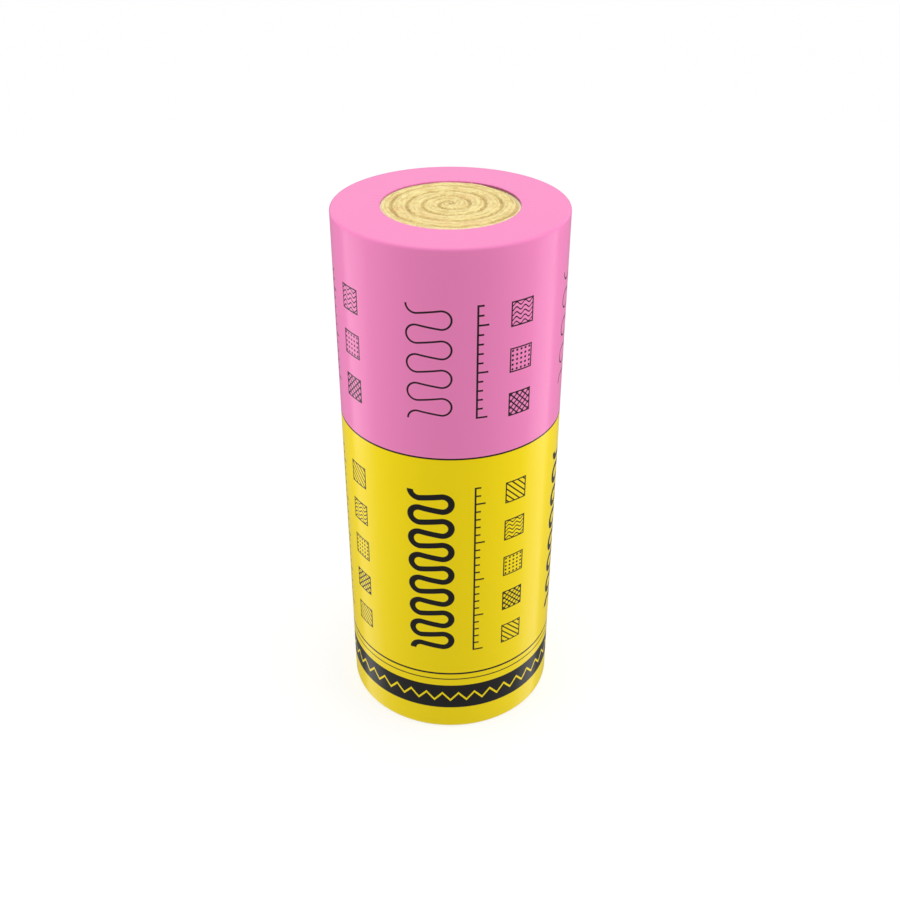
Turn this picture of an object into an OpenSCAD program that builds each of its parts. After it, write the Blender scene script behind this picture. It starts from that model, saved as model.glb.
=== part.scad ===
// Insulation roll: a glass wool blanket wound into a cylinder and sleeved in plastic film.
// The roll stands on end. Millimetres, +Z up, origin at the centre of the base.

/* [Roll] */
// Height of the wrapped roll
roll_h = 1200; // [600:10:1500]
// Outside diameter of the wrapped roll
roll_d = 480; // [400:5:700]
// Radius of the rounded edge round each end
edge_r = 8; // [6:1:24]

/* [Blanket] */
// How much the winding grows in radius with each turn
turn_pitch = 32; // [28:1:48]
// Depth of the valley between two turns, on the end faces
valley_d = 6; // [3:0.5:8]
// Width of the floor of that valley
valley_floor_w = 2; // [1:0.5:4]
// Radius of the rounded shoulders of each turn
shoulder_r = 12; // [9:0.5:13]
// Width of the eye, where the winding starts
eye_d = 14; // [12:1:20]
// How far the eye lies behind the middle of the roll
eye_shift = 11; // [0:1:16]

/* [Film] */
// Thickness of the film
film_t = 0.6; // [0.5:0.1:1.2]
// Diameter of the round opening that the film leaves in each end
opening_d = 280; // [180:5:340]
// How far the film's edge is tucked down into the opening
lip_drop = 3; // [2.5:0.5:6]
// Radius of the bend where the film turns down into the opening
lip_r = 2; // [1.5:0.1:2.4]
// Width of the lap where the film closes on itself, down the back
lap_w = 60; // [30:5:100]

/* [Fit] */
// Clearance between the blanket and the film
wrap_gap = 0.3; // [0.2:0.1:0.6]

/* [Hidden] */

wool_color = [0.93, 0.82, 0.55];
film_color = [0.97, 0.58, 0.79];

roll_r = roll_d / 2;
opening_r = opening_d / 2;

// The blanket lies this far inside the outer skin of the film
wool_depth = film_t + wrap_gap;
wool_r = roll_r - wool_depth;
// The bare end of the blanket, seen in the opening, lies just under the film's tucked edge
bare_drop = lip_drop + wrap_gap;
bare_r = opening_r + lip_r;

// The shoulders of a valley meet the end face at a slant and curve down to its floor
shoulder_slant = 12;
shoulder_drop = shoulder_r * cos(shoulder_slant);
floor_slant = acos((shoulder_drop - valley_d) / shoulder_r);
valley_reach = valley_floor_w / 2 + shoulder_r * sin(floor_slant);

// Half turns of the winding, from the eye to the rounded edge
eye_r = eye_d / 2;
half_pitch = turn_pitch / 2;
half_turns = floor((wool_r - edge_r - valley_reach - eye_r - eye_shift) / half_pitch);

// Angle that the lap takes up, centred on the back of the roll
lap_angle = lap_w / roll_r * 180 / PI;

$fa = 2;
$fs = 0.5;

// Half section of all that lies at least this deep inside the outer skin
module inside(depth) {
    e = edge_r - depth;
    translate([0, depth]) square([roll_r - edge_r, roll_h - 2 * depth]);
    translate([0, edge_r]) square([roll_r - depth, roll_h - 2 * edge_r]);
    for (z = [edge_r, roll_h - edge_r])
        translate([roll_r - edge_r, z]) circle(r = e);
}

// The same thing at the lower end and, turned over, at the upper end
module both_ends() {
    children();
    translate([0, roll_h]) mirror([0, 1]) children();
}

// Half section of the opening in the lower end, with the bend at its mouth
module mouth(depth) {
    square([opening_r + depth, lip_drop]);
    translate([opening_r, 0])
        difference() {
            square(lip_r);
            translate([lip_r, lip_r]) circle(r = lip_r - depth);
        }
}

// Half section of the film's skin at this depth, following the film down into its openings
module skin(depth) {
    difference() {
        inside(depth);
        both_ends() mouth(depth);
    }
}

// Section of the valley between two turns, with the end face at zero
module valley() {
    difference() {
        translate([-valley_reach, -valley_d])
            square([2 * valley_reach, valley_d + bare_drop]);
        for (side = [-1, 1])
            translate([side * valley_reach, -shoulder_drop]) circle(r = shoulder_r);
    }
}

// The valley that winds out from the eye on the upper end.
// Half turns about two centres, a quarter of a pitch either side of the eye, run into one spiral.
// Turns that lie under the film are cut from its underside, and the rest from the bare end.
module winding() {
    translate([0, eye_shift, 0]) {
        for (k = [0 : half_turns - 1]) {
            start_r = eye_r + k * half_pitch;
            end_r = start_r + half_pitch;
            face_z = roll_h - (end_r < bare_r ? bare_drop : wool_depth);
            rotate([0, 0, 180 * (k % 2)])
                translate([-half_pitch / 2, 0, face_z])
                    rotate_extrude(angle = 180)
                        translate([start_r + half_pitch / 2, 0]) valley();
        }
        translate([0, 0, roll_h - bare_drop]) sphere(d = eye_d);
    }
}

// Glass wool blanket, wound up on itself
module wool_roll() {
    color(wool_color)
        difference() {
            rotate_extrude()
                difference() {
                    inside(wool_depth);
                    both_ends() square([bare_r, bare_drop]);
                }
            winding();
            translate([0, 0, roll_h]) mirror([0, 0, 1]) winding();
        }
}

// Film sleeve, drawn over both ends and tucked into their openings
module film_wrap() {
    color(film_color) {
        rotate_extrude()
            difference() {
                skin(0);
                skin(film_t);
            }
        rotate([0, 0, 90 - lap_angle / 2])
            rotate_extrude(angle = lap_angle)
                translate([roll_r - film_t / 2, edge_r])
                    square([1.5 * film_t, roll_h - 2 * edge_r]);
    }
}

wool_roll();
film_wrap();
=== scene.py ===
# Insulation roll: a glass wool blanket wound up in a sleeve of printed film.
# Metres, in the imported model's frame: +Z up, base on the floor, front towards -Y.
import math

import bpy
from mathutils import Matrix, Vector, noise


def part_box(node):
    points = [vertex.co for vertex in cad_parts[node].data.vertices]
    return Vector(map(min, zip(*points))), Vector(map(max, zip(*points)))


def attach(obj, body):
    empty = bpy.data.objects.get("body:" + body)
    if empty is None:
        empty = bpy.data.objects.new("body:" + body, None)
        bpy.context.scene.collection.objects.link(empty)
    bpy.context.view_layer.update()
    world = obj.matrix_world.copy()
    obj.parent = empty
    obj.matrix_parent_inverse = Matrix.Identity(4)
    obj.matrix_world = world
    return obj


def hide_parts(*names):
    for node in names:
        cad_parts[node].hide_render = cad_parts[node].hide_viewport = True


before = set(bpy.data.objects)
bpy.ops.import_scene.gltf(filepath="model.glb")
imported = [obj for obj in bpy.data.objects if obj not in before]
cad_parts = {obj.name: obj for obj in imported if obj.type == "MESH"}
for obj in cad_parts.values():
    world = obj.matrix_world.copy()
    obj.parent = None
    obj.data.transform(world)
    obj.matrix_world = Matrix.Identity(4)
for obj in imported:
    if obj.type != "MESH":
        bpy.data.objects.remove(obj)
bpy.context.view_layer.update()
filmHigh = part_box("film_wrap")[1]
woolLow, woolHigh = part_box("wool_roll")
rollHeight = filmHigh.z
rollRadius = filmHigh.x
rollGirth = 2 * math.pi * rollRadius
print("frame loaded, roll", round(rollHeight, 3), "m tall and", round(2 * rollRadius, 3), "m across")


# node helpers: a Wire is a socket that can be used in plain sums

class Wire:
    def __init__(self, tree, socket):
        self.tree = tree
        self.socket = socket

    def calc(self, operation, *others):
        node = self.tree.nodes.new("ShaderNodeMath")
        node.operation = operation
        for socket, value in zip(node.inputs, (self, *others)):
            plug(self.tree, socket, value)
        return Wire(self.tree, node.outputs[0])

    def __add__(self, other):
        return self.calc("ADD", other)

    def __sub__(self, other):
        return self.calc("SUBTRACT", other)

    def __mul__(self, other):
        return self.calc("MULTIPLY", other)

    def __truediv__(self, other):
        return self.calc("DIVIDE", other)

    def __neg__(self):
        return self.calc("MULTIPLY", -1.0)

    def __rsub__(self, other):
        return -self + other

    def size(self):
        return self.calc("ABSOLUTE")

    def least(self, *others):
        wire = self
        for other in others:
            wire = wire.calc("MINIMUM", other)
        return wire

    def most(self, *others):
        wire = self
        for other in others:
            wire = wire.calc("MAXIMUM", other)
        return wire

    def wrapped(self, period):  # repeats from minus half a period to half a period
        return self.calc("WRAP", period / 2, -period / 2)

    def ramp(self, low, high):  # smooth step from 0 at low to 1 at high
        node = self.tree.nodes.new("ShaderNodeMapRange")
        node.interpolation_type = "SMOOTHSTEP"
        plug(self.tree, node.inputs["Value"], self)
        plug(self.tree, node.inputs["From Min"], low)
        plug(self.tree, node.inputs["From Max"], high)
        return Wire(self.tree, node.outputs["Result"])

    def choose(self, below, above):  # below where this is negative, else above
        chosen = self.calc("LESS_THAN", 0.0)
        return below * chosen + above * (1.0 - chosen)


def plug(tree, socket, value):
    if isinstance(value, Wire):
        tree.links.new(value.socket, socket)
    elif isinstance(value, bpy.types.NodeSocket):
        tree.links.new(value, socket)
    else:
        socket.default_value = value


def hypot(x, y):
    return (x * x + y * y).calc("SQRT")


def splitVector(tree, vector):
    node = tree.nodes.new("ShaderNodeSeparateXYZ")
    plug(tree, node.inputs[0], vector)
    return [Wire(tree, socket) for socket in node.outputs]


def joinVector(tree, x, y, z):
    node = tree.nodes.new("ShaderNodeCombineXYZ")
    for socket, value in zip(node.inputs, (x, y, z)):
        plug(tree, socket, value)
    return node.outputs[0]


noiseMiddle = 0.5  # value that a noise texture strays from, up and down


def noiseAt(tree, vector, scale, detail=2.0, roughness=0.5):
    node = tree.nodes.new("ShaderNodeTexNoise")
    plug(tree, node.inputs["Vector"], vector)
    node.inputs["Scale"].default_value = scale
    node.inputs["Detail"].default_value = detail
    node.inputs["Roughness"].default_value = roughness
    return Wire(tree, node.outputs[0])


def mixColour(tree, factor, first, second):
    node = tree.nodes.new("ShaderNodeMix")
    node.data_type = "RGBA"
    plug(tree, node.inputs[0], factor)
    plug(tree, node.inputs[6], first)  # sockets 6 and 7 are the two colours
    plug(tree, node.inputs[7], second)
    return node.outputs[2]


def paintInside(tree, distance, under, paint, softness, cover=1.0):  # where the distance is below zero
    inside = (-distance).ramp(-softness, softness)
    return mixColour(tree, inside * cover, under, paint)


def newMaterial(name):
    material = bpy.data.materials.new(name)
    material.use_nodes = True
    tree = material.node_tree
    return material, tree, tree.nodes["Principled BSDF"]


def objectPlace(tree):
    return tree.nodes.new("ShaderNodeTexCoord").outputs["Object"]


def attributeAt(tree, name):
    node = tree.nodes.new("ShaderNodeAttribute")
    node.attribute_name = name
    return Wire(tree, node.outputs["Fac"])


def addBump(tree, shader, height, distance):
    node = tree.nodes.new("ShaderNodeBump")
    node.inputs["Strength"].default_value = 1.0
    node.inputs["Distance"].default_value = distance
    plug(tree, node.inputs["Height"], height)
    tree.links.new(node.outputs["Normal"], shader.inputs["Normal"])


# mesh helpers

def straight(start, end, steps):
    rise = (end[0] - start[0], end[1] - start[1])
    return [(start[0] + rise[0] * i / steps, start[1] + rise[1] * i / steps) for i in range(steps + 1)]


def bend(centre, radius, fromDegrees, toDegrees, steps):
    turn = [math.radians(fromDegrees + (toDegrees - fromDegrees) * i / steps) for i in range(steps + 1)]
    return [(centre[0] + radius * math.cos(a), centre[1] + radius * math.sin(a)) for a in turn]


def joinRuns(*runs):
    points = list(runs[0])
    for run in runs[1:]:
        points += run[1:]
    return points


def smooth(low, high, value):
    t = min(1.0, max(0.0, (value - low) / (high - low)))
    return t * t * (3 - 2 * t)


def ringFaces(first, wide, rows):  # between rings of points, each as wide as the next
    faces = []
    for row in range(rows - 1):
        low = first + row * wide
        for i in range(wide):
            j = (i + 1) % wide
            faces.append((low + i, low + j, low + wide + j, low + wide + i))
    return faces


def newPiece(name, points, faces, material):
    mesh = bpy.data.meshes.new(name)
    mesh.from_pydata(points, [], faces)
    mesh.materials.append(material)
    mesh.polygons.foreach_set("use_smooth", [True] * len(mesh.polygons))
    mesh.update()
    piece = bpy.data.objects.new(name, mesh)
    bpy.context.scene.collection.objects.link(piece)
    return piece


def settle(piece):  # the evaluated shape becomes the piece's own plain mesh
    graph = bpy.context.evaluated_depsgraph_get()
    mesh = bpy.data.meshes.new_from_object(piece.evaluated_get(graph))
    mesh.name = piece.name
    piece.modifiers.clear()
    piece.data = mesh
    return piece


def newGroup(name, sizes):  # a geometry tree with one named input for each size
    tree = bpy.data.node_groups.new(name, "GeometryNodeTree")
    tree.interface.new_socket("Geometry", in_out="INPUT", socket_type="NodeSocketGeometry")
    for label, value in sizes.items():
        kind = "NodeSocketInt" if isinstance(value, int) else "NodeSocketFloat"
        tree.interface.new_socket(label, in_out="INPUT", socket_type=kind)
    tree.interface.new_socket("Geometry", in_out="OUTPUT", socket_type="NodeSocketGeometry")
    start = tree.nodes.new("NodeGroupInput")
    wires = {label: Wire(tree, start.outputs[label]) for label in sizes}
    return tree, start.outputs["Geometry"], wires


def runGroup(piece, tree, sizes):
    modifier = piece.modifiers.new(tree.name, "NODES")
    modifier.node_group = tree
    for item in tree.interface.items_tree:
        if item.in_out == "INPUT" and item.name in sizes:
            modifier[item.identifier] = sizes[item.name]
    return settle(piece)


def keepAttribute(tree, geometry, name, value):
    node = tree.nodes.new("GeometryNodeStoreNamedAttribute")
    node.data_type = "FLOAT"
    node.domain = "POINT"
    node.inputs["Name"].default_value = name
    tree.links.new(geometry, node.inputs["Geometry"])
    plug(tree, node.inputs["Value"], value)
    return node.outputs[0]


def endGroup(tree, geometry, material):
    whole = tree.nodes.new("GeometryNodeRealizeInstances")
    tree.links.new(geometry, whole.inputs[0])
    paint = tree.nodes.new("GeometryNodeSetMaterial")
    paint.inputs["Material"].default_value = material
    tree.links.new(whole.outputs[0], paint.inputs["Geometry"])
    end = tree.nodes.new("NodeGroupOutput")
    tree.links.new(paint.outputs[0], end.inputs[0])


# printed film: colours, print and gloss

filmLook = {
    "pink": (0.92, 0.250, 0.538, 1.0),
    "yellow": (1.00, 0.760, 0.002, 1.0),
    "ink": (0.006, 0.005, 0.004, 1.0),
    "splitHeight": 0.752,  # pink above, yellow below
    "roughness": 0.21,
    "roughnessSpread": 0.04,
    "cloudScale": 9.0,  # of the patches in which the gloss changes
    "cloudDetail": 3.0,
    "specular": 0.12,
    "softness": 0.0006,  # of the printed edges
    "tuckPaintedShade": 0.20,  # painted shade on the film's edge, down in the openings
    "sagPaintedShade": 0.34,  # more painted shade added where they sag
    "margin": (0.90, 0.86, 0.84, 1.0),  # milky film, left unprinted along the edge of the lap
    "marginVeil": 0.38,  # how much it hides of the print beneath it
    "marginWidth": 0.006,
}
filmPrint = {
    "lines": [(0.752, 0.004), (0.168, 0.005), (0.151, 0.003)],  # height of the middle, and width
    "band": (0.096, 0.070),
    "waveCount": 40,  # zigzag left open in the band
    "waveRise": 0.011,
    "waveLine": 0.007,
    "repeats": 4,  # round the roll
    "turn": -10.0,  # degrees from the front to the first column of loops
    "loopWidth": 0.050,  # between the centres of the left and right loops
    "loopRadius": 0.019,
    "loopPitch": 0.062,
    "boldRun": (0.238, 0.672),
    "boldLine": 0.014,
    "fineRun": (0.842, 1.090),
    "fineLine": 0.004,
    "swatchHeights": [0.262, 0.359, 0.456, 0.553, 0.650, 0.862, 0.960, 1.058],
    "swatchSize": 0.050,
    "swatchLine": 0.003,
    "hatches": ["slant", "cross", "dots", "waves"],  # by turns, from the lowest swatch up
    "hatchPitch": 0.010,
    "hatchDot": 0.0051,
    "hatchWave": 0.0033,
    "rulerRuns": [(0.238, 0.678), (0.846, 1.086)],
    "rulerPitch": 0.020,
    "rulerTick": 0.012,
    "rulerLongTick": 0.022,
    "rulerLongEvery": 5,
}


def boxDistance(x, y, width, height):
    return (x.size() - width / 2).most(y.size() - height / 2)


def runDistance(z, run):
    return (z - (run[0] + run[1]) / 2).size() - (run[1] - run[0]) / 2


def bandDistance(around, z):
    height, width = filmPrint["band"]
    # the zigzag goes from -1 to 1 and back once in each wave
    zigzag = (around * (filmPrint["waveCount"] / rollGirth)).calc("PINGPONG", 0.5) * 4.0 - 1.0
    gap = (z - height - zigzag * filmPrint["waveRise"]).size() - filmPrint["waveLine"] / 2
    ink = ((z - height).size() - width / 2).most(-gap)
    for height, width in filmPrint["lines"]:
        ink = ink.least((z - height).size() - width / 2)
    return ink


def loopDistance(x, z, run, line):
    # one line that loops from side to side, as batts are drawn on plans
    wide = filmPrint["loopWidth"]
    radius = filmPrint["loopRadius"]
    rise = filmPrint["loopPitch"] / 2
    reach = math.hypot(wide, rise)
    slope = math.atan2(rise, wide) - math.asin(2 * radius / reach)
    along = (math.cos(slope), math.sin(slope))
    length = math.sqrt(reach * reach - 4 * radius * radius)
    height = z - run[0]
    step = (height / rise).calc("FLOOR")
    side = 1.0 - step.calc("FLOORED_MODULO", 2.0) * 2.0  # every other step is mirrored
    y = height - step * rise
    left = x * side + wide / 2
    right = left - wide
    travel = left * along[0] + y * along[1]
    leftLoop = hypot(left, y) - radius
    rightLoop = hypot(right, y - rise) - radius
    crossing = y * along[0] - left * along[1] - radius
    path = travel.choose(leftLoop, (travel - length).choose(crossing, rightLoop))
    return (path.size() - line / 2).most(runDistance(z, run))


def hatchDistance(x, y, kind):
    pitch = filmPrint["hatchPitch"]
    half = filmPrint["swatchLine"] / 2
    if kind == "dots":
        return hypot(x.wrapped(pitch), y.wrapped(pitch)) - filmPrint["hatchDot"] / 2
    if kind == "waves":
        wave = (x * (math.pi / pitch)).calc("SINE") * filmPrint["hatchWave"]
        return (y - wave).wrapped(pitch).size() - half
    diagonal = math.sqrt(0.5)
    slant = ((x + y) * diagonal).wrapped(pitch).size() - half
    if kind == "slant":
        return slant
    return slant.least(((x - y) * diagonal).wrapped(pitch).size() - half)


def swatchDistance(x, z, height, kind):
    size = filmPrint["swatchSize"]
    y = z - height
    edge = boxDistance(x, y, size, size)
    outline = edge.size() - filmPrint["swatchLine"] / 2
    return outline.least(edge.most(hatchDistance(x, y, kind)))


def rulerDistance(x, z, run):
    pitch = filmPrint["rulerPitch"]
    line = filmPrint["fineLine"]
    tick = filmPrint["rulerTick"]
    longTick = filmPrint["rulerLongTick"]
    height = z - run[0]
    ticks = boxDistance(x - tick / 2, height.wrapped(pitch), tick, line)
    longPitch = pitch * filmPrint["rulerLongEvery"]
    longTicks = boxDistance(x - longTick / 2, height.wrapped(longPitch), longTick, line)
    spine = x.size() - line / 2
    return spine.least(ticks, longTicks).most(runDistance(z, run) - line / 2)


def printDistance(around, z):
    cell = rollGirth / filmPrint["repeats"]
    fromLoops = around - math.radians(filmPrint["turn"]) * rollRadius
    # rulers and swatches stand a quarter and half of the way to the next column of loops
    loops = fromLoops.wrapped(cell)
    rulers = (fromLoops - cell / 4).wrapped(cell)
    swatches = (fromLoops - cell / 2).wrapped(cell)
    ink = bandDistance(around, z)
    ink = ink.least(loopDistance(loops, z, filmPrint["boldRun"], filmPrint["boldLine"]))
    ink = ink.least(loopDistance(loops, z, filmPrint["fineRun"], filmPrint["fineLine"]))
    hatches = filmPrint["hatches"]
    for i, height in enumerate(filmPrint["swatchHeights"]):
        ink = ink.least(swatchDistance(swatches, z, height, hatches[i % len(hatches)]))
    for run in filmPrint["rulerRuns"]:
        ink = ink.least(rulerDistance(rulers, z, run))
    return ink


def marginDistance(around, z):  # a strip along the edge of the lap, on the side only
    width = filmLook["marginWidth"]
    edge = filmShape["edgeRadius"]
    lapEdge = filmShape["lapWidth"] / 2 - rollGirth / 2
    strip = (around - lapEdge + width / 2).size() - width / 2
    return strip.most(runDistance(z, (edge, rollHeight - edge)))


def printedFilm():
    material, tree, shader = newMaterial("printedFilm")
    place = objectPlace(tree)
    x, y, z = splitVector(tree, place)
    around = x.calc("ARCTAN2", -y) * rollRadius  # way round the roll from the front
    soft = filmLook["softness"]
    crisp = soft / 2
    colour = paintInside(tree, z - filmLook["splitHeight"], filmLook["pink"], filmLook["yellow"], soft)
    colour = paintInside(tree, printDistance(around, z), colour, filmLook["ink"], soft)
    margin = marginDistance(around, z)
    colour = paintInside(tree, margin, colour, filmLook["margin"], crisp, filmLook["marginVeil"])
    opening = filmShape["openingRadius"]
    # painted shade: the film's edge down in each opening is darkened towards the ink, more where the
    # opening sags
    tuck = hypot(x, y) - opening - soft
    sag = ((x * sagWay.x + y * sagWay.y) / opening).ramp(filmShape["deepTuckFrom"], 1.0)
    paintedShade = sag * filmLook["sagPaintedShade"] + filmLook["tuckPaintedShade"]
    colour = paintInside(tree, tuck, colour, filmLook["ink"], crisp, paintedShade)
    tree.links.new(colour, shader.inputs["Base Color"])
    cloudy = noiseAt(tree, place, filmLook["cloudScale"], filmLook["cloudDetail"]) - noiseMiddle
    roughness = cloudy * (2 * filmLook["roughnessSpread"]) + filmLook["roughness"]
    plug(tree, shader.inputs["Roughness"], roughness)
    shader.inputs["Specular IOR Level"].default_value = filmLook["specular"]
    return material


# film sleeve: one skin over the side and both ends, with its edges tucked into the openings

filmShape = {
    "openingRadius": 0.140,
    "lipDrop": 0.003,
    "lipRadius": 0.002,
    "lipSteps": 5,
    "edgeRadius": 0.0055,
    "edgeSteps": 9,
    "thickness": 0.0006,
    "sectors": 360,
    "sideRows": 48,
    "ringRows": 16,
    "lapWidth": 0.060,  # down the back
    "lapClimb": 0.012,  # where the outer layer climbs over the hidden inner edge
    "lapCut": 0.0003,  # half the width of the step at its own edge
    "sideFade": 3.0,  # edge radii from each end, where the lap and the waves of the side die out
    "slackDepth": 0.00015,  # soft waves of the side
    "slackRound": 3.1,
    "slackAlong": 4.0,
    "puckerRise": 0.0005,  # small gathers where the film is drawn in round the upper opening
    "puckerReach": 0.045,
    "puckerCount": 58,
    "puckerWander": 3.0,
    "puckerPatches": 5.0,
    "puckerSpread": 0.6,  # raises the patches, so that more of the rim is gathered
    "deepTuck": 0.0018,  # how much further down the edge is tucked where the opening sags
    "deepTuckFrom": 0.55,  # share of the opening's radius
}
sagTurn = math.radians(31.0)  # each opening sags towards the back right
sagWay = Vector((math.cos(sagTurn), math.sin(sagTurn), 0.0))


def filmSection():
    opening = filmShape["openingRadius"]
    drop = filmShape["lipDrop"]
    lip = filmShape["lipRadius"]
    lipSteps = filmShape["lipSteps"]
    edge = filmShape["edgeRadius"]
    edgeSteps = filmShape["edgeSteps"]
    ringRows = filmShape["ringRows"]
    top = rollHeight
    return joinRuns(
        straight((opening, drop), (opening, lip), 1),
        bend((opening + lip, lip), lip, 180, 270, lipSteps),
        straight((opening + lip, 0), (rollRadius - edge, 0), ringRows),
        bend((rollRadius - edge, edge), edge, 270, 360, edgeSteps),
        straight((rollRadius, edge), (rollRadius, top - edge), filmShape["sideRows"]),
        bend((rollRadius - edge, top - edge), edge, 0, 90, edgeSteps),
        straight((rollRadius - edge, top), (opening + lip, top), ringRows),
        bend((opening + lip, top - lip), lip, 90, 180, lipSteps),
        straight((opening, top - lip), (opening, top - drop), 1),
    )


def lapRise(angle):  # the outer layer climbs over the hidden inner edge and stops short at its own
    back = (angle - math.pi) * rollRadius
    half = filmShape["lapWidth"] / 2
    cut = filmShape["lapCut"]
    return smooth(-half, filmShape["lapClimb"] - half, back) * (1 - smooth(half - cut, half + cut, back))


def puckerRise(angle, around):
    patch = noise.noise(filmShape["puckerPatches"] * around)
    phase = filmShape["puckerCount"] * angle + filmShape["puckerWander"] * patch
    ripple = (1 + math.cos(phase)) / 2
    return filmShape["puckerRise"] * ripple * max(0.0, filmShape["puckerSpread"] + patch)


def filmPoint(radius, height, angle):
    around = Vector((math.sin(angle), -math.cos(angle), 0.0))
    upper = height > rollHeight / 2
    depth = rollHeight - height if upper else height
    edge = filmShape["edgeRadius"]
    onSide = smooth(edge, filmShape["sideFade"] * edge, depth)
    wave = filmShape["slackRound"] * around + Vector((0.0, 0.0, filmShape["slackAlong"] * height))
    radius += onSide * filmShape["slackDepth"] * noise.noise(wave)
    radius += onSide * filmShape["thickness"] * lapRise(angle)
    inward = 1 - smooth(0, filmShape["puckerReach"], radius - filmShape["openingRadius"])
    if inward == 1 and depth > (filmShape["lipRadius"] + filmShape["lipDrop"]) / 2:  # the film's own edge
        tuck = filmShape["deepTuck"] * smooth(filmShape["deepTuckFrom"], 1.0, around.dot(sagWay))
        height += -tuck if upper else tuck
    elif upper:
        height += inward * puckerRise(angle, around)
    return (radius * around.x, radius * around.y, height)


def filmAngles():
    count = filmShape["sectors"]
    angles = [2 * math.pi * i / count for i in range(count)]
    lapEdge = math.pi + filmShape["lapWidth"] / 2 / rollRadius
    cut = filmShape["lapCut"] / rollRadius
    return sorted(angles + [lapEdge - cut, lapEdge + cut])


def filmSleeve(material):
    section = filmSection()
    angles = filmAngles()
    points = [filmPoint(r, z, a) for r, z in section for a in angles]
    faces = ringFaces(0, len(angles), len(section))
    piece = newPiece("film_sleeve", points, faces, material)
    wall = piece.modifiers.new("wall", "SOLIDIFY")
    wall.thickness = filmShape["thickness"]
    wall.offset = -1.0
    return settle(piece)


# glass wool: colour and nap

woolLook = {
    "light": (1.00, 0.858, 0.402, 1.0),
    "warm": (0.80, 0.590, 0.240, 1.0),
    "toneRange": (0.40, 0.53),  # of the blended grain, from warm to light
    "peach": (0.98, 0.710, 0.350, 1.0),
    "peachScale": 16.0,
    "peachRange": (0.50, 0.75),
    "peachCover": 0.6,
    "deep": (0.59, 0.420, 0.160, 1.0),  # painted shade in the seams and valleys
    "seamShadeCover": 0.5,
    "valleyRange": (0.0, 0.64),  # of the rise from a valley's floor to the flat of a turn
    "valleyFray": (1.1, 0.7),  # how far streaks and fibres break the edge of a valley
    "closedScale": 24.0,  # patches where two turns lie tight together, with less painted shade in their valleys
    "closedRange": (0.42, 0.64),
    "closedCover": 0.3,
    "paintedHighlight": (1.00, 0.920, 0.560, 1.0),  # painted highlight round the rim of the bare end
    "paintedHighlightWidth": 0.007,
    "roughness": 0.95,
    "specular": 0.1,
    "sheen": 0.15,
    "bumpHeight": 0.0014,
}
woolGrain = {  # fineness round the winding and across it
    "layer": (2.4, 130.0),
    "streak": (5.0, 300.0),
    "strand": (14.0, 900.0),
}
woolMottle = {"mottle": 60.0, "fibre": 420.0}  # fineness all ways
woolNoise = {"detail": 3.0, "roughness": 0.6}
woolTone = {"layer": 0.30, "streak": 0.36, "strand": 0.16, "mottle": 0.09, "fibre": 0.09}
woolBump = {"streak": 0.6, "strand": 0.7, "fibre": 0.5}


def grainAt(tree, position, shift, name):
    # noise that is long round the eye of the winding and short across its turns
    along, across = woolGrain[name]
    x, y, z = splitVector(tree, position)
    y = y - shift
    angle = y.calc("ARCTAN2", x)
    depth = hypot(x, y) * across + z
    place = joinVector(tree, angle.calc("COSINE") * along, angle.calc("SINE") * along, depth)
    return noiseAt(tree, place, 1.0, **woolNoise)


def blended(grain, shares):
    names = list(shares)
    total = grain[names[0]] * shares[names[0]]
    for name in names[1:]:
        total = total + grain[name] * shares[name]
    return total


def glassWool():
    material, tree, shader = newMaterial("glassWool")
    place = objectPlace(tree)
    x, y, z = splitVector(tree, place)
    grain = {name: grainAt(tree, place, woolWinding["Shift"], name) for name in woolGrain}
    for name, scale in woolMottle.items():
        grain[name] = noiseAt(tree, place, scale, **woolNoise)
    tone = blended(grain, woolTone).ramp(*woolLook["toneRange"])
    colour = mixColour(tree, tone, woolLook["warm"], woolLook["light"])
    peach = noiseAt(tree, place, woolLook["peachScale"]).ramp(*woolLook["peachRange"])
    colour = mixColour(tree, peach * woolLook["peachCover"], colour, woolLook["peach"])
    # painted shade: the seams and the valleys between the turns are darkened, less where two turns lie
    # tight together
    seam = attributeAt(tree, "seam")
    colour = mixColour(tree, seam * woolLook["seamShadeCover"], colour, woolLook["deep"])
    streakFray, fibreFray = woolLook["valleyFray"]
    fray = (grain["streak"] - noiseMiddle) * streakFray + (grain["fibre"] - noiseMiddle) * fibreFray
    valley = 1.0 - (attributeAt(tree, "crown") + fray).ramp(*woolLook["valleyRange"])
    closed = noiseAt(tree, place, woolLook["closedScale"]).ramp(*woolLook["closedRange"])
    valley = valley * (1.0 - closed * woolLook["closedCover"])
    colour = mixColour(tree, valley, colour, woolLook["deep"])
    # painted highlight: the bare end is lighter round its rim
    rim = (hypot(x, y) - woolShape["bareRadius"]).ramp(-woolLook["paintedHighlightWidth"], 0.0)
    colour = mixColour(tree, rim, colour, woolLook["paintedHighlight"])
    tree.links.new(colour, shader.inputs["Base Color"])
    shader.inputs["Roughness"].default_value = woolLook["roughness"]
    shader.inputs["Specular IOR Level"].default_value = woolLook["specular"]
    shader.inputs["Sheen Weight"].default_value = woolLook["sheen"]
    addBump(tree, shader, blended(grain, woolBump), woolLook["bumpHeight"])
    return material


# wound blanket: a turned solid whose ends are worked into soft spiral turns

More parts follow.
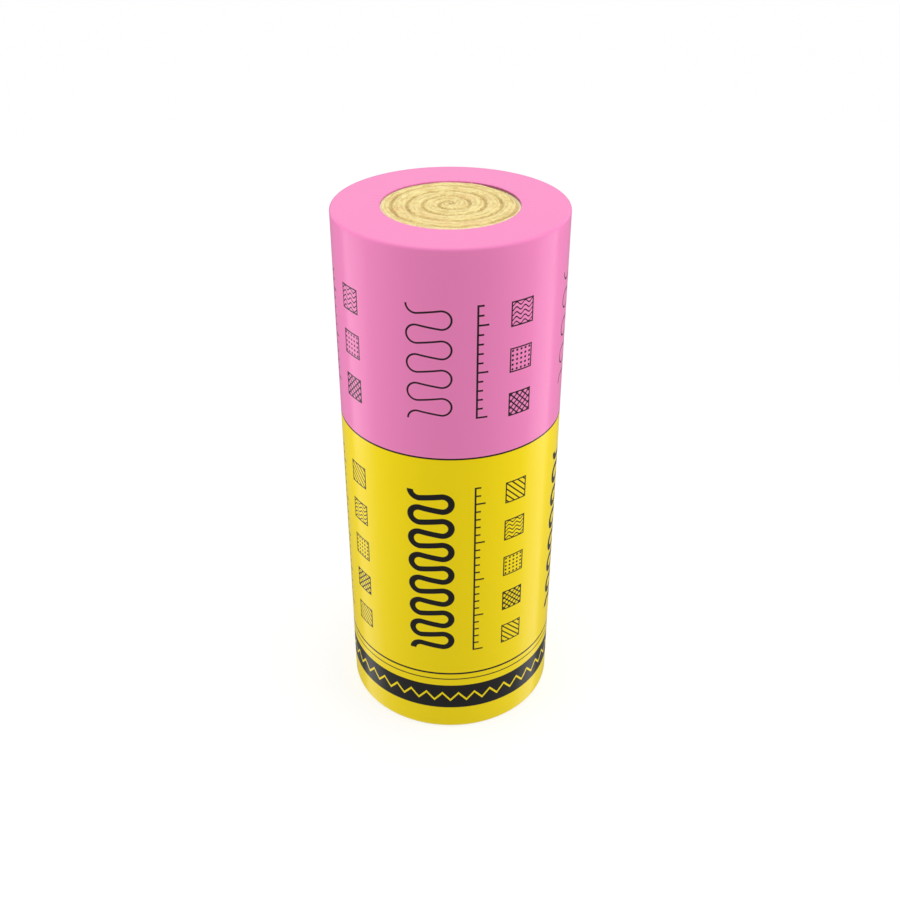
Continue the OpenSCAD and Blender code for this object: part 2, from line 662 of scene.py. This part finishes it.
wrapGap = rollHeight - woolHigh.z - filmShape["thickness"]  # between the wool and the film
rimGap = 0.0005  # between the bare end of the wool and the film's tucked edge
woolShape = {
    "bareRadius": filmShape["openingRadius"] - rimGap,  # of the end that shows in the opening
    "bareDrop": filmShape["lipDrop"] + wrapGap,
    "recess": 0.0025,  # room round the bare end for the film's tucked edge
    "edgeRadius": filmShape["edgeRadius"] - filmShape["thickness"] - wrapGap,
    "edgeSteps": 5,
    "sectors": 360,
    "hiddenSteps": 3,  # along the faces that the film covers
    "topRings": 100,
    "lowRings": 56,
}
woolWinding = {
    "Pitch": 0.032,  # growth of the winding in one turn
    "Drift": 0.16,  # how far it strays from a true spiral, in turns
    "Eye": 0.007,  # its radius
    "Shift": 0.011,  # of the eye towards the back
    "Hub": 0.0042,  # depth of the hole in the eye
    "Valley": 0.0038,  # depth between two turns
    "Uneven": 1.3,  # how much that depth varies
    "Shallowest": 0.45,  # share of it
    "Shoulder": 0.0096,  # from a valley to the flat of a turn
    "Crown": 0.0018,  # rise to the middle of a turn
    "Seams": 3.0,  # layers that a turn splits into
    "Seam Depth": 0.0011,
    "Layer": 0.0020,  # relief of the long grain
    "Tuft": 0.0024,
    "Nap": 0.5,  # fine tufts beside the broad ones
    "Rim Drop": 0.0006,  # at the film's edge
    "Dip": 0.0022,  # the blanket stands lower where the opening sags
    "Press": 0.8,  # how much the floor flattens the lower end
    "Bare": woolShape["bareRadius"],
    "Recess": woolShape["recess"],
    "Drop": woolShape["bareDrop"],
    "Middle": rollHeight / 2,
    "Reach": 0.001,  # how near a point has to lie to count as on a bare end
}
woolFade = {  # over what stretch each form comes in or dies out
    "hub": (0.2, 1.4),  # radii of the eye
    "seamLine": (0.0, 0.3),  # layers
    "seamPatches": (0.36, 0.60),  # of the noise that breaks the seams up
    "rim": (0.965, 1.0),  # shares of the bare radius
    "sag": (0.78, 1.0),
}
woolWaves = {  # fineness of what strays from the rule
    "drift": 22.0,
    "valley": 19.0,
    "seam": 31.0,
    "cloud": 75.0,
    "nap": 330.0,
}


def woolSection():
    bare = woolShape["bareRadius"]
    recess = bare + woolShape["recess"]
    edge = woolShape["edgeRadius"]
    edgeSteps = woolShape["edgeSteps"]
    hiddenSteps = woolShape["hiddenSteps"]
    topRings = woolShape["topRings"]
    lowRings = woolShape["lowRings"]
    wide = woolHigh.x
    low = woolLow.z
    high = woolHigh.z
    bareLow = woolShape["bareDrop"]
    bareTop = rollHeight - bareLow
    return joinRuns(
        straight((bare / topRings, bareTop), (bare, bareTop), topRings - 1),
        straight((bare, bareTop), (recess, bareTop), 1),
        straight((recess, bareTop), (recess, high), 1),
        straight((recess, high), (wide - edge, high), hiddenSteps),
        bend((wide - edge, high - edge), edge, 90, 0, edgeSteps),
        straight((wide, high - edge), (wide, low + edge), hiddenSteps),
        bend((wide - edge, low + edge), edge, 0, -90, edgeSteps),
        straight((wide - edge, low), (recess, low), hiddenSteps),
        straight((recess, low), (recess, bareLow), 1),
        straight((recess, bareLow), (bare, bareLow), 1),
        straight((bare, bareLow), (bare / lowRings, bareLow), lowRings - 1),
    )


def windingGroup(material):
    tree, geometry, size = newGroup("windTurns", woolWinding)
    position = tree.nodes.new("GeometryNodeInputPosition").outputs[0]
    waves = {name: noiseAt(tree, position, scale) for name, scale in woolWaves.items()}
    x, y, z = splitVector(tree, position)
    # how many turns out from the eye, and how far from the valley between two turns
    fromEye = y - size["Shift"]
    windRadius = hypot(x, fromEye)
    angle = fromEye.calc("ARCTAN2", x)
    turns = (windRadius - size["Eye"]) / size["Pitch"] - angle / (2 * math.pi)
    across = (turns + (waves["drift"] - noiseMiddle) * size["Drift"]).calc("FRACT")
    toValley = across.least(1.0 - across) * size["Pitch"]
    crown = toValley.ramp(0.0, size["Shoulder"])
    uneven = ((noiseMiddle - waves["valley"]) * size["Uneven"] + 1.0).most(size["Shallowest"])
    hub = 1.0 - (windRadius / size["Eye"]).ramp(*woolFade["hub"])
    height = (crown - 1.0) * size["Valley"] * uneven - hub * size["Hub"]
    height = height + (across * math.pi).calc("SINE") * size["Crown"]
    # thin layers and seams that follow the turns, then tufts
    toSeam = (across * size["Seams"]).wrapped(1.0).size()
    broken = waves["seam"].ramp(*woolFade["seamPatches"])
    seam = (1.0 - toSeam.ramp(*woolFade["seamLine"])) * broken * crown
    layer = grainAt(tree, position, size["Shift"], "layer") - noiseMiddle
    tuft = waves["cloud"] - noiseMiddle + (waves["nap"] - noiseMiddle) * size["Nap"]
    height = height + layer * size["Layer"] + tuft * size["Tuft"] - seam * size["Seam Depth"]
    # even round the rim, lower where the opening sags, and flatter on the floor
    radius = hypot(x, y)
    rim = (radius / size["Bare"]).ramp(*woolFade["rim"])
    sag = ((x * sagWay.x + y * sagWay.y) / size["Bare"]).ramp(*woolFade["sag"])
    height = height * (1.0 - rim) - rim * size["Rim Drop"] - sag * size["Dip"]
    end = (z - size["Middle"]).calc("SIGN")
    lower = (1.0 - end) / 2  # 1 at the lower end and 0 at the upper
    flatter = 1.0 - lower * size["Press"]
    offset = height.least(height * flatter) * end
    geometry = keepAttribute(tree, geometry, "crown", crown * (1.0 - hub))
    geometry = keepAttribute(tree, geometry, "seam", seam)
    # only the bare ends are worked
    depth = size["Middle"] - (z - size["Middle"]).size()
    level = (depth - size["Drop"]).size().calc("LESS_THAN", size["Reach"])
    bare = level * (radius - size["Bare"] - size["Recess"]).calc("LESS_THAN", size["Reach"])
    move = tree.nodes.new("GeometryNodeSetPosition")
    tree.links.new(geometry, move.inputs["Geometry"])
    plug(tree, move.inputs["Selection"], bare)
    tree.links.new(joinVector(tree, 0.0, 0.0, offset), move.inputs["Offset"])
    endGroup(tree, move.outputs[0], material)
    return tree


def woundBlanket(material):
    section = woolSection()
    wide = woolShape["sectors"]
    turns = [2 * math.pi * i / wide for i in range(wide)]
    points = [(0, 0, rollHeight - woolShape["bareDrop"])]
    points += [(r * math.cos(a), r * math.sin(a), z) for r, z in section for a in turns]
    points.append((0, 0, woolShape["bareDrop"]))
    last = len(points) - 1
    faces = [(0, 1 + i, 1 + (i + 1) % wide) for i in range(wide)]
    # this section runs from the top down, so its faces are turned over
    faces += [(a, d, c, b) for a, b, c, d in ringFaces(1, wide, len(section))]
    low = last - wide
    faces += [(last, low + (i + 1) % wide, low + i) for i in range(wide)]
    piece = newPiece("wound_blanket", points, faces, material)
    return runGroup(piece, windingGroup(material), woolWinding)


# loose fibres that stand off the bare ends of the blanket

fibreNap = {
    "Density": 26000.0,  # strands on a square metre
    "Radius": 0.00016,
    "Length": 0.012,
    "Shortest": 0.45,  # share of the length
    "Longest": 1.35,
    "Aside": 1.1,  # radians from the way of the turns
    "Tilt": 0.25,
    "Roll": 0.6,
    "Bare": 0.134,  # radius within which they stand
    "Lowest": 0.0006,  # above the floor
    "Seed": 7,
}
fibreLine = {"Start": (-0.5, 0.0, 0.0), "Middle": (0.0, 0.18, 0.16), "End": (0.5, 0.0, 0.04)}
fibreSteps = 5  # along a strand
fibreSides = 3  # round it
fibreLook = {
    "toneScale": 150.0,
    "toneRange": (0.35, 0.65),
    "roughness": 0.6,
}


def looseFibre():
    material, tree, shader = newMaterial("looseFibre")
    tone = noiseAt(tree, objectPlace(tree), fibreLook["toneScale"]).ramp(*fibreLook["toneRange"])
    colour = mixColour(tree, tone, woolLook["warm"], woolLook["light"])
    tree.links.new(colour, shader.inputs["Base Color"])
    shader.inputs["Roughness"].default_value = fibreLook["roughness"]
    return material


def randomValue(tree, low, high, seed):
    node = tree.nodes.new("FunctionNodeRandomValue")
    node.data_type = "FLOAT"
    plug(tree, node.inputs[2], low)  # sockets 2 and 3 are the limits of a single number
    plug(tree, node.inputs[3], high)
    plug(tree, node.inputs["Seed"], seed)
    return Wire(tree, node.outputs[1])


def fibreStrand(tree, thickness):  # a bowed line, of a length of one
    line = tree.nodes.new("GeometryNodeCurveQuadraticBezier")
    line.inputs["Resolution"].default_value = fibreSteps
    for label, point in fibreLine.items():
        line.inputs[label].default_value = point
    profile = tree.nodes.new("GeometryNodeCurvePrimitiveCircle")
    profile.inputs["Resolution"].default_value = fibreSides
    plug(tree, profile.inputs["Radius"], thickness)
    strand = tree.nodes.new("GeometryNodeCurveToMesh")
    tree.links.new(line.outputs[0], strand.inputs["Curve"])
    tree.links.new(profile.outputs[0], strand.inputs["Profile Curve"])
    strand.inputs["Fill Caps"].default_value = True
    return strand.outputs[0]


def fibreGroup(material):
    tree, geometry, size = newGroup("scatterFibres", fibreNap)
    position = tree.nodes.new("GeometryNodeInputPosition").outputs[0]
    x, y, z = splitVector(tree, position)
    scatter = tree.nodes.new("GeometryNodeDistributePointsOnFaces")
    tree.links.new(geometry, scatter.inputs["Mesh"])
    bare = hypot(x, y).calc("LESS_THAN", size["Bare"])
    plug(tree, scatter.inputs["Density"], bare * size["Density"])
    plug(tree, scatter.inputs["Seed"], size["Seed"])
    place = tree.nodes.new("GeometryNodeInstanceOnPoints")
    tree.links.new(scatter.outputs["Points"], place.inputs["Points"])
    tree.links.new(fibreStrand(tree, size["Radius"] / size["Length"]), place.inputs["Instance"])
    aside = randomValue(tree, -size["Aside"], size["Aside"], size["Seed"] + 1)
    tilt = randomValue(tree, -size["Tilt"], size["Tilt"], size["Seed"] + 2)
    roll = randomValue(tree, -size["Roll"], size["Roll"], size["Seed"] + 3)
    heading = (y - woolWinding["Shift"]).calc("ARCTAN2", x) + math.pi / 2 + aside
    turn = tree.nodes.new("FunctionNodeEulerToRotation")
    tree.links.new(joinVector(tree, roll, tilt, heading), turn.inputs[0])
    tree.links.new(turn.outputs[0], place.inputs["Rotation"])
    length = size["Length"] * randomValue(tree, size["Shortest"], size["Longest"], size["Seed"] + 4)
    tree.links.new(joinVector(tree, length, length, length), place.inputs["Scale"])
    whole = tree.nodes.new("GeometryNodeRealizeInstances")
    tree.links.new(place.outputs[0], whole.inputs[0])
    # none pokes through the floor
    lift = tree.nodes.new("GeometryNodeSetPosition")
    tree.links.new(whole.outputs[0], lift.inputs["Geometry"])
    tree.links.new(joinVector(tree, x, y, z.most(size["Lowest"])), lift.inputs["Position"])
    endGroup(tree, lift.outputs[0], material)
    return tree


def looseFibres(blanket, material):
    piece = bpy.data.objects.new("loose_fibres", blanket.data.copy())
    bpy.context.scene.collection.objects.link(piece)
    return runGroup(piece, fibreGroup(material), fibreNap)


# studio: floor, lamps, world and camera

studio = {
    "ambient": 0.51,
    "overhead": 0.50,  # share of white that the overhead light adds to a level surface
    "overheadHeight": 3.0,
    "overheadSpread": 80.0,  # degrees
    "overheadTilt": (-8.0, 8.0),
    "cardGlow": 0.28,  # a grey card behind the roll, which keeps its outline from washing out
    "cardSize": (7.6, 6.0),
    "cardMiddle": (2.0, -1.4),  # how far behind the roll's axis, and how high
    "floorSize": 60.0,
    "floorDrop": 0.0004,
    "floorTone": 0.36,
}
fillPanel = {  # one at each side
    "glow": 1.7,  # brightness, where 1 is white
    "width": 1.9,
    "height": 1.9,
    "away": 2.0,
    "turn": 76.0,  # degrees round from the camera's side
    "middle": 1.15,
}
mirrorPanel = {  # shows only as a reflection in the film
    "glow": 1.4,
    "width": 0.96,
    "height": 1.00,
    "away": 1.75,
    "turn": 99.5,
    "middle": 0.23,
}
lowMirrorPanel = {  # carries on below the floor, so that the reflection goes all the way down the side
    **mirrorPanel,
    "glow": 0.7,
    "height": 1.70,
    "middle": -1.12,
}
photoCamera = {
    "elevation": 32.48,  # degrees, looking at the middle of the roll
    "distance": 2.4975,
    "sensor": 36.0,
    "lens": 43.94,
    "shiftX": -0.0005,
    "shiftY": 0.0104,
}


def whiteRays(tree):  # camera, mirror and see-through rays meet plain white
    path = tree.nodes.new("ShaderNodeLightPath")
    camera = Wire(tree, path.outputs["Is Camera Ray"])
    return camera.most(path.outputs["Is Glossy Ray"], path.outputs["Is Transmission Ray"])


def studioWorld():
    world = bpy.data.worlds.new("studio")
    world.use_nodes = True
    tree = world.node_tree
    background = tree.nodes["Background"]
    background.inputs["Color"].default_value = (1.0, 1.0, 1.0, 1.0)
    white = whiteRays(tree)
    plug(tree, background.inputs["Strength"], white * (1.0 - studio["ambient"]) + studio["ambient"])
    bpy.context.scene.world = world


def floorPaint():
    # white to the camera, darker only in the shadow of the roll, and clear to all other rays
    material, tree, shader = newMaterial("floorPaint")
    tone = studio["floorTone"]
    tree.nodes.remove(shader)
    matt = tree.nodes.new("ShaderNodeBsdfDiffuse")
    matt.inputs["Color"].default_value = (tone, tone, tone, 1.0)
    glow = tree.nodes.new("ShaderNodeEmission")
    glow.inputs["Strength"].default_value = 1.0 - tone * (studio["ambient"] + studio["overhead"])
    both = tree.nodes.new("ShaderNodeAddShader")
    tree.links.new(matt.outputs[0], both.inputs[0])
    tree.links.new(glow.outputs[0], both.inputs[1])
    clear = tree.nodes.new("ShaderNodeBsdfTransparent")
    path = tree.nodes.new("ShaderNodeLightPath")
    seen = tree.nodes.new("ShaderNodeMixShader")
    tree.links.new(path.outputs["Is Camera Ray"], seen.inputs[0])
    tree.links.new(clear.outputs[0], seen.inputs[1])
    tree.links.new(both.outputs[0], seen.inputs[2])
    tree.links.new(seen.outputs[0], tree.nodes["Material Output"].inputs["Surface"])
    return material


def studioFloor():
    half = studio["floorSize"] / 2
    low = -studio["floorDrop"]
    corners = [(-half, -half, low), (half, -half, low), (half, half, low), (-half, half, low)]
    floor = newPiece("studio_floor", corners, [(0, 1, 2, 3)], floorPaint())


def cardPaint():
    material, tree, shader = newMaterial("cardPaint")
    tree.nodes.remove(shader)
    glow = tree.nodes.new("ShaderNodeEmission")
    glow.inputs["Strength"].default_value = studio["cardGlow"]
    tree.links.new(glow.outputs[0], tree.nodes["Material Output"].inputs["Surface"])
    return material


def studioCard():
    wide, tall = [side / 2 for side in studio["cardSize"]]
    away, middle = studio["cardMiddle"]
    low = middle - tall
    high = middle + tall
    corners = [(-wide, away, low), (wide, away, low), (wide, away, high), (-wide, away, high)]
    card = newPiece("back_card", corners, [(0, 1, 2, 3)], cardPaint())
    card.visible_camera = False
    card.visible_diffuse = False
    card.visible_shadow = False


def addLamp(name, lamp, place, turn):
    lampObject = bpy.data.objects.new(name, lamp)
    lampObject.location = place
    lampObject.rotation_euler = turn
    bpy.context.scene.collection.objects.link(lampObject)
    return lampObject


def addPanel(name, panel, side):
    lamp = bpy.data.lights.new(name, "AREA")
    lamp.shape = "RECTANGLE"
    lamp.size = panel["width"]
    lamp.size_y = panel["height"]
    # the power at which a panel of this size looks as bright as its glow
    lamp.energy = panel["glow"] * math.pi * panel["width"] * panel["height"]
    turn = side * math.radians(panel["turn"])
    place = (panel["away"] * math.sin(turn), -panel["away"] * math.cos(turn), panel["middle"])
    return addLamp(name, lamp, place, (math.pi / 2, 0, turn))


def studioLamps():
    sun = bpy.data.lights.new("overhead", "SUN")
    sun.energy = studio["overhead"] * math.pi
    sun.angle = math.radians(studio["overheadSpread"])
    tilt = [math.radians(angle) for angle in studio["overheadTilt"]]
    place = (0, 0, studio["overheadHeight"])
    overhead = addLamp("overhead", sun, place, (tilt[0], tilt[1], 0))
    overhead.visible_glossy = False
    for name, side in (("left", -1), ("right", 1)):
        fill = addPanel(name + "_fill", fillPanel, side)
        fill.visible_glossy = False
        for part, panel in (("_mirror", mirrorPanel), ("_low_mirror", lowMirrorPanel)):
            mirrored = addPanel(name + part, panel, side)
            mirrored.visible_diffuse = False


def cameraAtPhoto():
    tilt = math.radians(photoCamera["elevation"])
    away = photoCamera["distance"]
    data = bpy.data.cameras.new("camera")
    data.sensor_width = photoCamera["sensor"]
    data.lens = photoCamera["lens"]
    data.shift_x = photoCamera["shiftX"]
    data.shift_y = photoCamera["shiftY"]
    camera = bpy.data.objects.new("camera", data)
    camera.location = (0, -away * math.cos(tilt), rollHeight / 2 + away * math.sin(tilt))
    camera.rotation_euler = (math.pi / 2 - tilt, 0, 0)
    bpy.context.scene.collection.objects.link(camera)
    bpy.context.scene.camera = camera


bpy.context.scene.view_settings.view_transform = "Standard"
cameraAtPhoto()
studioWorld()
studioLamps()
studioFloor()
studioCard()
print("studio set")

sleeve = filmSleeve(printedFilm())
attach(sleeve, "root")
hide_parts("film_wrap")
print("film sleeve", len(sleeve.data.polygons), "faces")

blanket = woundBlanket(glassWool())
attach(blanket, "root")
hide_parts("wool_roll")
print("wound blanket", len(blanket.data.polygons), "faces")

fibres = looseFibres(blanket, looseFibre())
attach(fibres, "root")
print("loose fibres", len(fibres.data.polygons), "faces")
